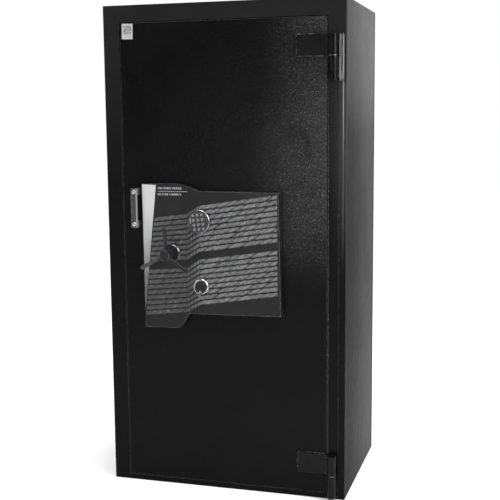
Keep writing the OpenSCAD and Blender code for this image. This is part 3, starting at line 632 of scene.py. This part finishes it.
def zinc():
    """Zinc-plated steel with its faint blotchy spangle and tool marks."""
    p = Paint("zinc_steel", (0.42, 0.42, 0.41), rough=0.36, metal=1.0)
    p.tint(p.math("MULTIPLY", p.ranged(p.cells(70), 0.2, 0.7), 0.5), (0.30, 0.30, 0.29))
    p.tint(p.math("MULTIPLY", p.ranged(p.noise(15, 6, 0.7), 0.55, 0.75), 0.5), (0.22, 0.20, 0.16))
    p.rough(p.ranged(p.noise(80, 5), 0.4, 0.7), 0.55)
    p.bump(p.noise(350, 4), 0.15, 0.0004)
    return p.material


def print_ink():
    p = Paint("print_silver", (0.25, 0.25, 0.26), rough=0.45, metal=0.1)
    p.tint(p.ranged(p.noise(400, 5, 0.7), 0.56, 0.66), (0.10, 0.10, 0.10))
    p.bump(p.noise(900, 2), 0.1, 0.0001)
    return p.material


# ---------------------------------------------------------------- mesh helpers


def new_object(name, mesh, material, body, smooth=True):
    thing = bpy.data.objects.new(name, mesh)
    bpy.context.scene.collection.objects.link(thing)
    mesh.materials.append(material)
    for face in mesh.polygons:
        face.use_smooth = smooth
    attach(thing, body)
    return thing


def round_edges(thing, width, segments=2, angle=35):
    """Rounds an object's sharp edges, for the thin highlights that real edges catch."""
    bevel = thing.modifiers.new("edge_round", "BEVEL")
    bevel.width = width
    bevel.segments = segments
    bevel.limit_method = "ANGLE"
    bevel.angle_limit = math.radians(angle)
    bevel.harden_normals = False
    return thing


def prism(points, front_y, back_y):
    """An upright prism from points in x and z, between two values of y."""
    mesh = bpy.data.meshes.new("prism")
    made = bmesh.new()
    near = [made.verts.new((x, front_y, z)) for x, z in points]
    face = made.faces.new(near)
    made.normal_update()
    if face.normal.y > 0:
        face.normal_flip()
    grown = bmesh.ops.extrude_face_region(made, geom=[face])
    for item in grown["geom"]:
        if isinstance(item, bmesh.types.BMVert):
            item.co.y = back_y
    bmesh.ops.recalc_face_normals(made, faces=made.faces)
    made.to_mesh(mesh)
    made.free()
    return mesh


def turned(profile, steps=64):
    """A closed solid of revolution about +Z from (radius, height) points."""
    mesh = bpy.data.meshes.new("turned")
    made = bmesh.new()
    rings = []
    for r, h in profile:
        if r < 1e-7:
            rings.append([made.verts.new((0, 0, h))])
        else:
            turn = 2 * math.pi / steps
            rings.append([made.verts.new((r * math.cos(i * turn), r * math.sin(i * turn), h)) for i in range(steps)])
    for a, b in zip(rings, rings[1:]):
        for i in range(steps):
            j = (i + 1) % steps
            if len(a) == 1 and len(b) == 1:
                continue
            if len(a) == 1:
                made.faces.new((a[0], b[j], b[i]))
            elif len(b) == 1:
                made.faces.new((a[i], a[j], b[0]))
            else:
                made.faces.new((a[i], a[j], b[j], b[i]))
    bmesh.ops.recalc_face_normals(made, faces=made.faces)
    made.to_mesh(mesh)
    made.free()
    return mesh


# ---------------------------------------------------------------- CAD nodes that keep their shape

def dress_cad_nodes():
    black = door_paint()
    smooth = paint_smooth()
    panel = paint_panel()
    board = board_fibre()
    pile = carpet()
    plated = zinc()
    steel = brushed_silver("bright_steel", (0.56, 0.57, 0.58), 0.24, (60, 500, 500))
    bronzed = bronze()
    looks = {
        frame_paint(): ["left_jamb", "right_jamb", "top_rail", "bottom_sill", "door_stop"],
        black: ["door_plate", "door_box"],
        smooth: ["door_hinges", "frame_hinges"],
        panel: ["side_panels", "top_panel", "base_panel", "back_panel"],
        board: ["fire_boards", "door_board"],
        pile: ["inner_lining", "shelf", "barrel_rack", "floor_mat", "door_back"],
        rubber(): ["door_seal"],
        steel: ["hinge_pins", "dead_bolts", "left_bolts"],
        chrome(): ["keypad_ring", "key_ring", "pull_screws"],
        pull_grey(): ["pull_bar", "pull_lugs"],
        black_chrome(): ["handle_ring"],
        keypad_face(): ["keypad_base"],
        bronzed: ["swing_bolt", "key_bolt"],
        plated: ["shelf_clips", "bolt_guides", "keypad_lock_case", "key_lock_case", "spindle",
                 "left_carrier", "top_bolts", "bottom_bolts"],
        moulded_dark(): ["cover", "key_flap"],
        wedge_silver(): ["cover_wedge"],
        label_film(): ["label"],
        handle_grey(): ["handle_hub", "handle_spokes"],
        key_plastic(): [n for n in NODES if n.startswith("key_") and NODES[n]["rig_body"].startswith("button_")],
    }
    for material, names in looks.items():
        for name in names:
            node = NODES[name]
            node.data.materials.clear()
            node.data.materials.append(material)
    rounding = {
        0.9: ["left_jamb", "right_jamb", "top_rail", "bottom_sill", "door_plate", "side_panels", "top_panel",
              "back_panel", "base_panel"],
        1.2: ["door_hinges", "frame_hinges", "pull_bar", "pull_lugs", "handle_hub"],
        2.0: ["cover"],
        3.0: ["handle_ring", "shelf", "door_back", "barrel_rack"],
        1.6: ["key_ring"],
        0.5: ["keypad_ring", "key_flap", "door_box", "door_stop",
              "keypad_lock_case", "key_lock_case", "left_carrier", "top_bolts", "bottom_bolts"],
        0.6: [n for n in NODES if NODES[n]["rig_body"].startswith("button_")],
    }
    for width, names in rounding.items():
        for name in names:
            round_edges(NODES[name], width * MM)


# ---------------------------------------------------------------- raised ropes on the cover

COVER_FRONT = -283.0 * MM
FOLD_LEFT = -110.5 * MM
FOLD_RIGHT = -69.0 * MM
RIB_END = 180.0 * MM
RIB_COUNT = 9
RIB_SHARE = 0.84
RIB_PROUD = 3.2 * MM
TWIST = 26.0 * MM
CHOP = 10.4 * MM
KEY_LOCK = (-65.5 * MM, 655.5 * MM)
KEY_RING_R = 22.5 * MM

# Height of each line at the left end, at the two folds and at the right end, with the x of the left end
BAND_LINES = {
    "upper": (
        ((-215.5, 870.0), (883.0, 909.0, 946.0)),
        ((-233.9, 730.7), (737.3, 762.8, 799.5)),
    ),
    "lower": (
        ((-236.3, 705.1), (716.0, 742.5, 778.2)),
        ((-250.2, 555.4), (571.8, 596.1, 634.1)),
    ),
}


def band_point(lines, share, x):
    """Height at x of the line that lies share of the way from the upper edge of a band to its lower one."""
    def height(line):
        (left_x, left_z), (fold_a, fold_b, end) = line
        stops = [(left_x * MM, left_z * MM), (FOLD_LEFT, fold_a * MM), (FOLD_RIGHT, fold_b * MM), (RIB_END, end * MM)]
        for (xa, za), (xb, zb) in zip(stops, stops[1:]):
            if x <= xb:
                return za + (zb - za) * (x - xa) / (xb - xa)
        return stops[-1][1]
    return height(lines[0]) * (1 - share) + height(lines[1]) * share


def rib_left(lines, share):
    return (lines[0][0][0] * (1 - share) + lines[1][0][0] * share) * MM


def rib_stops(start, lines, share):
    """Places along a rib, close together where the rope is twisted and left out inside the key lock's ring."""
    places = []
    x = start
    while x < RIB_END:
        places.append(x)
        if x < FOLD_LEFT - 3 * MM:
            x += 2.4 * MM
        elif x < FOLD_RIGHT:
            x += 1.3 * MM
        else:
            x += 2.0 * MM
    places.append(RIB_END)
    runs = [[]]
    for x in places:
        z = band_point(lines, share, x)
        if math.hypot(x - KEY_LOCK[0], z - KEY_LOCK[1]) < KEY_RING_R:
            if runs[-1]:
                runs.append([])
        else:
            runs[-1].append((x, z))
    return [run for run in runs if len(run) > 1]


def leaf(along, up, length, width, tilt):
    """Height of a long lens-shaped blob, from 0 at its outline to 1 in its middle."""
    u = (along * math.cos(tilt) + up * math.sin(tilt)) / (length / 2)
    v = (up * math.cos(tilt) - along * math.sin(tilt)) / (width / 2)
    return max(0.0, 1.0 - u * u - v * v) ** 0.65


def rib_profile(x, across, half, phase, drift):
    """How far the rope stands up at x, from -1 to 1 across it: uneven on the left, chopped in the fold, then twisted."""
    dome = math.sqrt(max(0.0, 1.0 - across * across))
    if FOLD_LEFT - 4 * MM <= x < FOLD_RIGHT:
        chop = abs(math.sin(math.pi * (x - FOLD_LEFT) / CHOP))
        return dome * (0.12 + 0.80 * chop)
    right = x >= FOLD_RIGHT
    pitch, stretch, tilt = (TWIST, 1.75, math.radians(17)) if right else (0.95 * TWIST, 1.35, math.radians(14))
    place = x / pitch + phase
    height = 0.0
    for near in (-1, 0, 1):
        index = math.floor(place) + near
        shift, share = drift[index % len(drift)]
        along = (place - index - 0.5 - shift) * pitch
        height = max(height, share * leaf(along, across * half, stretch * pitch, 1.8 * half, tilt))
    return 0.12 * dome + (0.88 if right else 0.84) * height


def add_ribs(material):
    rng = random.Random(SEED)
    across = [-1.0, -0.84, -0.64, -0.43, -0.21, 0.0, 0.21, 0.43, 0.64, 0.84, 1.0]
    made = bmesh.new()
    for lines in BAND_LINES.values():
        for index in range(RIB_COUNT):
            share = (index + 0.5) / RIB_COUNT
            phase = rng.uniform(-0.12, 0.12) + 0.37 * index
            drift = [(rng.uniform(-0.20, 0.20), rng.uniform(0.72, 1.0)) for _ in range(17)]
            for run in rib_stops(rib_left(lines, share), lines, share):
                rows = []
                for x, z in run:
                    top = band_point(lines, index / RIB_COUNT, x)
                    low = band_point(lines, (index + 1) / RIB_COUNT, x)
                    half = (top - low) * RIB_SHARE / 2
                    row = []
                    for a in across:
                        lift = RIB_PROUD * rib_profile(x, a, half, phase, drift)
                        row.append(made.verts.new((x, COVER_FRONT - lift + 0.1 * MM, z + a * half)))
                    rows.append(row)
                for a, b in zip(rows, rows[1:]):
                    for i in range(len(across) - 1):
                        made.faces.new((a[i], a[i + 1], b[i + 1], b[i]))
                    made.faces.new((a[0], b[0], b[-1], a[-1]))
                made.faces.new(rows[0][::-1])
                made.faces.new(rows[-1])
    bmesh.ops.recalc_face_normals(made, faces=made.faces)
    mesh = bpy.data.meshes.new("cover_ropes")
    made.to_mesh(mesh)
    made.free()
    new_object("cover_ropes", mesh, material, "door")


# ---------------------------------------------------------------- small pieces


def plates(name, boxes, y_back, thick, material, body, tilt=0.0, corner=0.25):
    """Thin raised plates with rounded corners, given as (x0, z0, x1, z1) in millimetres."""
    made = bmesh.new()
    for x0, z0, x1, z1 in boxes:
        r = min(x1 - x0, z1 - z0) * corner
        ring = []
        for cx, cz, start in ((x1 - r, z1 - r, 0), (x0 + r, z1 - r, 90), (x0 + r, z0 + r, 180), (x1 - r, z0 + r, 270)):
            for step in range(4):
                angle = math.radians(start + 30 * step)
                ring.append(((cx + r * math.cos(angle)) * MM, (cz + r * math.sin(angle)) * MM))
        inner = [(x0 + x1) / 2 * MM, (z0 + z1) / 2 * MM]
        front = []
        back = []
        crown = []
        for x, z in ring:
            z += tilt * x
            back.append(made.verts.new((x, y_back, z)))
            front.append(made.verts.new((x, y_back - 0.6 * thick, z)))
            toward = 0.9
            crown.append(made.verts.new((
                inner[0] + (x - inner[0]) * toward, y_back - thick, inner[1] + tilt * inner[0] + (z - inner[1] - tilt * inner[0]) * toward
            )))
        count = len(ring)
        for i in range(count):
            j = (i + 1) % count
            made.faces.new((back[i], back[j], front[j], front[i]))
            made.faces.new((front[i], front[j], crown[j], crown[i]))
        made.faces.new(crown)
        made.faces.new(back[::-1])
    bmesh.ops.recalc_face_normals(made, faces=made.faces)
    mesh = bpy.data.meshes.new(name)
    made.to_mesh(mesh)
    made.free()
    return new_object(name, mesh, material, body, smooth=False)


def add_marks(material):
    """Two rows of plain bars with a rule between them, in place of any wording."""
    rng = random.Random(SEED + 1)
    boxes = []
    for low, high, start, end in ((957.0, 963.5, -202.0, -124.0), (938.0, 944.5, -203.0, -128.0)):
        x = start
        while x < end:
            wide = rng.choice((3.4, 4.6, 6.2))
            boxes.append((x, low, x + wide, high))
            x += wide + rng.choice((1.8, 1.8, 4.2))
    boxes.append((-203.0, 949.4, -106.0, 951.2))
    plates("cover_marks", boxes, COVER_FRONT, 0.25 * MM, material, "door", corner=0.12)


def tube(name, points, radius, material, body, ripple=0.0, seed=0, sides=10, pitch=2.6, step=1.1 * MM):
    """A wandering bead along points, closed at both ends."""
    rng = random.Random(SEED + seed)
    made = bmesh.new()
    for line in points:
        rings = []
        steps = []
        for a, b in zip(line, line[1:]):
            a, b = Vector(a), Vector(b)
            count = max(2, int((b - a).length / step))
            steps += [(a.lerp(b, i / count), (b - a).normalized()) for i in range(count)]
        steps.append((Vector(line[-1]), (Vector(line[-1]) - Vector(line[-2])).normalized()))
        drift = 0.0
        last = len(steps) - 1
        for i, (at, along) in enumerate(steps):
            drift = 0.9 * drift + rng.uniform(-0.1, 0.1) * radius
            wave = 1 + ripple * math.sin(2 * math.pi * i * 1.1 / pitch) + rng.uniform(-0.06, 0.06)
            taper = min(1.0, 0.35 + 0.3 * min(i, last - i))
            side = along.cross(Vector((0, 1, 0))).normalized()
            up = along.cross(side).normalized()
            centre = at + side * drift
            ring = []
            for k in range(sides):
                angle = 2 * math.pi * k / sides
                ring.append(made.verts.new(centre + (side * math.cos(angle) + up * math.sin(angle)) * radius * wave * taper))
            rings.append(ring)
        for a, b in zip(rings, rings[1:]):
            for k in range(sides):
                j = (k + 1) % sides
                made.faces.new((a[k], a[j], b[j], b[k]))
        made.faces.new(rings[0][::-1])
        made.faces.new(rings[-1])
    bmesh.ops.recalc_face_normals(made, faces=made.faces)
    mesh = bpy.data.meshes.new(name)
    made.to_mesh(mesh)
    made.free()
    return new_object(name, mesh, material, body)


DOOR_FRONT = -258.0 * MM
STRAP_FRONT = DOOR_FRONT - 8.0 * MM
HINGE_LOWS = (82.0, 1353.0)
STRAP_TALL = 61.0
STRAP_LEFT = 237.0
HINGE_X = 346.0
HINGE_Y = -273.0


def add_welds(material):
    y = DOOR_FRONT - 1.0 * MM
    lines = []
    for low in HINGE_LOWS:
        x0, x1 = STRAP_LEFT * MM, 325.0 * MM
        z0, z1 = (low - 0.5) * MM, (low + STRAP_TALL + 0.5) * MM
        lines.append([(x1, y, z1), (x0, y, z1)])
        lines.append([(x0 - 0.5 * MM, y, z1), (x0 - 0.5 * MM, y, z0)])
        lines.append([(x0, y, z0), (x1, y, z0)])
    tube("strap_welds", lines, 2.6 * MM, material, "door", ripple=0.16, seed=2)
    lines = []
    for low, high in ((12.0, 78.0), (1283.0, 1349.0)):
        for side in (-1, 1):
            x = (HINGE_X + side * 12.2) * MM
            lines.append([(x, DOOR_FRONT + 1.2 * MM, low * MM), (x, DOOR_FRONT + 1.2 * MM, high * MM)])
    tube("knuckle_welds", lines, 2.4 * MM, material, "cabinet", ripple=0.18, seed=3)


KEYPAD_TILT = 7.0
KEY_NAMES = (("1", "2", "3"), ("4", "5", "6"), ("7", "8", "9"), ("star", "0", "hash"))
KEY_SIGNS = {"star": "*", "hash": "#"}


def add_digits(material):
    for row in KEY_NAMES:
        for name in row:
            low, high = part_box("key_" + name)
            curve = bpy.data.curves.new("digit_" + name, "FONT")
            curve.body = KEY_SIGNS.get(name, name)
            curve.align_x = "CENTER"
            curve.align_y = "CENTER"
            curve.size = 5.6 * MM
            curve.extrude = 0.05 * MM
            curve.resolution_u = 3
            text = bpy.data.objects.new("digit_shape", curve)
            mesh = bpy.data.meshes.new_from_object(text)
            bpy.data.objects.remove(text)
            at = Matrix.Translation(((low.x + high.x) / 2, low.y - 0.03 * MM, (low.z + high.z) / 2))
            mesh.transform(at @ Matrix.Rotation(math.radians(-KEYPAD_TILT), 4, "Y") @ Matrix.Rotation(math.radians(90), 4, "X"))
            new_object("digit_" + name, mesh, material, "button_" + name, smooth=False)


def add_keypad_window(material):
    """Raised grey strip at the left of the keys."""
    x = -68.0 - 26.3
    front = -292.0 * MM
    boxes = [(x - 2.6, 853.0, x + 2.6, 871.0)]
    plates("keypad_strip", boxes, front, 0.7 * MM, material, "door", corner=0.45)


def add_flap_drop(material):
    """Bright drop-shaped finger tail on the flap's tab."""
    low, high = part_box("key_flap")
    profile = [(0, -0.4), (3.2, -0.4), (4.6, 0.4), (5.0, 2.0), (4.7, 4.6), (3.7, 7.2), (2.2, 8.8), (0, 9.4)]
    mesh = turned([(r * MM, h * MM) for r, h in profile], 32)
    turn = Matrix.Rotation(math.radians(90), 4, "X")
    mesh.transform(Matrix.Translation((KEY_LOCK[0], -291.8 * MM, 630.0 * MM)) @ turn)
    new_object("flap_drop", mesh, material, "flap")
    neck = [(-65.5 - 3.9, 632.0, -65.5 + 3.9, 645.0)]
    plates("flap_neck", neck, -291.9 * MM, 0.6 * MM, material, "flap", corner=0.4)


DOOR_BACK = -174.0 * MM
PAN_SIDE = 299.0
PAN_LOW = 48.0
PAN_HIGH = 1438.0
POST_IN = 14.0
POST_MIDDLES = (440.0, 1040.0)


def add_back_screws(material):
    """Washer-headed screws that hold the carpeted panel to its posts."""
    x = PAN_SIDE - POST_IN
    places = [(side * x, z) for side in (-1, 1) for z in (PAN_LOW + POST_IN, PAN_HIGH - POST_IN)]
    places += [(x, z) for z in POST_MIDDLES]
    profile = [(0, -0.5), (9.0, -0.5), (9.0, 0.7), (8.4, 1.1), (6.4, 1.2), (6.1, 2.1), (4.6, 3.2), (2.6, 3.7),
               (2.5, 2.4), (0, 2.3)]
    made = bmesh.new()
    for place_x, place_z in places:
        mesh = turned([(r * MM, h * MM) for r, h in profile], 28)
        turn = Matrix.Rotation(math.radians(-90), 4, "X")
        mesh.transform(Matrix.Translation((place_x * MM, DOOR_BACK, place_z * MM)) @ turn)
        made.from_mesh(mesh)
        bpy.data.meshes.remove(mesh)
    joined = bpy.data.meshes.new("back_screws")
    made.to_mesh(joined)
    made.free()
    new_object("back_screws", joined, material, "door")


def add_back_piping(material):
    """Stitched piping round the carpeted panel, inside its screws."""
    x = (PAN_SIDE - POST_IN - 14.0) * MM
    low, high = (PAN_LOW + POST_IN + 14.0) * MM, (PAN_HIGH - POST_IN - 14.0) * MM
    y = DOOR_BACK + 0.6 * MM
    corners = [(0, low), (x, low), (x, high), (-x, high), (-x, low), (0, low)]
    line = [(at_x, y, at_z) for at_x, at_z in corners]
    tube("back_piping", [line], 2.0 * MM, material, "door", ripple=0.14, seed=5, sides=8, pitch=5.0, step=3.6 * MM)


def add_washers(material):
    """The hinges' thrust washers with rounded rims, a hair thinner than the gap, so a turning knuckle clears them."""
    low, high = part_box("hinge_washers")
    middle_x, middle_y = (low.x + high.x) / 2, (low.y + high.y) / 2
    outer = (high.x - low.x) / 2 / MM
    profile = [(6.1, -1.9), (outer - 0.4, -1.9), (outer, -1.6), (outer, -0.4), (outer - 0.4, -0.1), (6.1, -0.1), (6.1, -1.9)]
    made = bmesh.new()
    for top in (low.z + 2 * MM, high.z):
        mesh = turned([(r * MM, h * MM) for r, h in profile], 48)
        mesh.transform(Matrix.Translation((middle_x, middle_y, top)))
        made.from_mesh(mesh)
        bpy.data.meshes.remove(mesh)
    bmesh.ops.remove_doubles(made, verts=made.verts, dist=1e-6)
    bmesh.ops.recalc_face_normals(made, faces=made.faces)
    joined = bpy.data.meshes.new("washers")
    made.to_mesh(joined)
    made.free()
    thing = new_object("thrust_washers", joined, material, NODES["hinge_washers"]["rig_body"], smooth=False)
    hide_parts("hinge_washers")


def add_shelf_edge(material):
    """Rounded moulding along the front edge of the shelf."""
    low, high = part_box("shelf")
    half = (high.z - low.z) / 2
    middle = (high.z + low.z) / 2
    bulge = 5.0 * MM
    profile = [(low.y + 0.3 * MM, -half - 0.8 * MM)]
    for step in range(-6, 7):
        angle = math.radians(15 * step)
        profile.append((low.y - bulge * math.cos(angle), (half + 0.8 * MM) * math.sin(angle)))
    profile.append((low.y + 0.3 * MM, half + 0.8 * MM))
    made = bmesh.new()
    inset = 1.0 * MM
    ends = [[made.verts.new((x, y, middle + z)) for y, z in profile] for x in (low.x + inset, high.x - inset)]
    count = len(profile)
    for i in range(count):
        j = (i + 1) % count
        made.faces.new((ends[0][i], ends[0][j], ends[1][j], ends[1][i]))
    made.faces.new(ends[0][::-1])
    made.faces.new(ends[1])
    bmesh.ops.recalc_face_normals(made, faces=made.faces)
    mesh = bpy.data.meshes.new("shelf_edge")
    made.to_mesh(mesh)
    made.free()
    new_object("shelf_edge", mesh, material, "cabinet")


add_camera()
add_stage()
dress_cad_nodes()
add_ribs(rib_silver())
add_marks(print_ink())
add_welds(paint_smooth())
add_digits(digit_ink())
add_keypad_window(strip_grey())
add_flap_drop(chrome("chrome_drop", 0.17))
add_back_screws(brushed_silver("screw_steel", (0.50, 0.50, 0.51), 0.28, (300, 300, 300)))
add_back_piping(piping())
add_shelf_edge(edge_moulding())
add_washers(zinc())
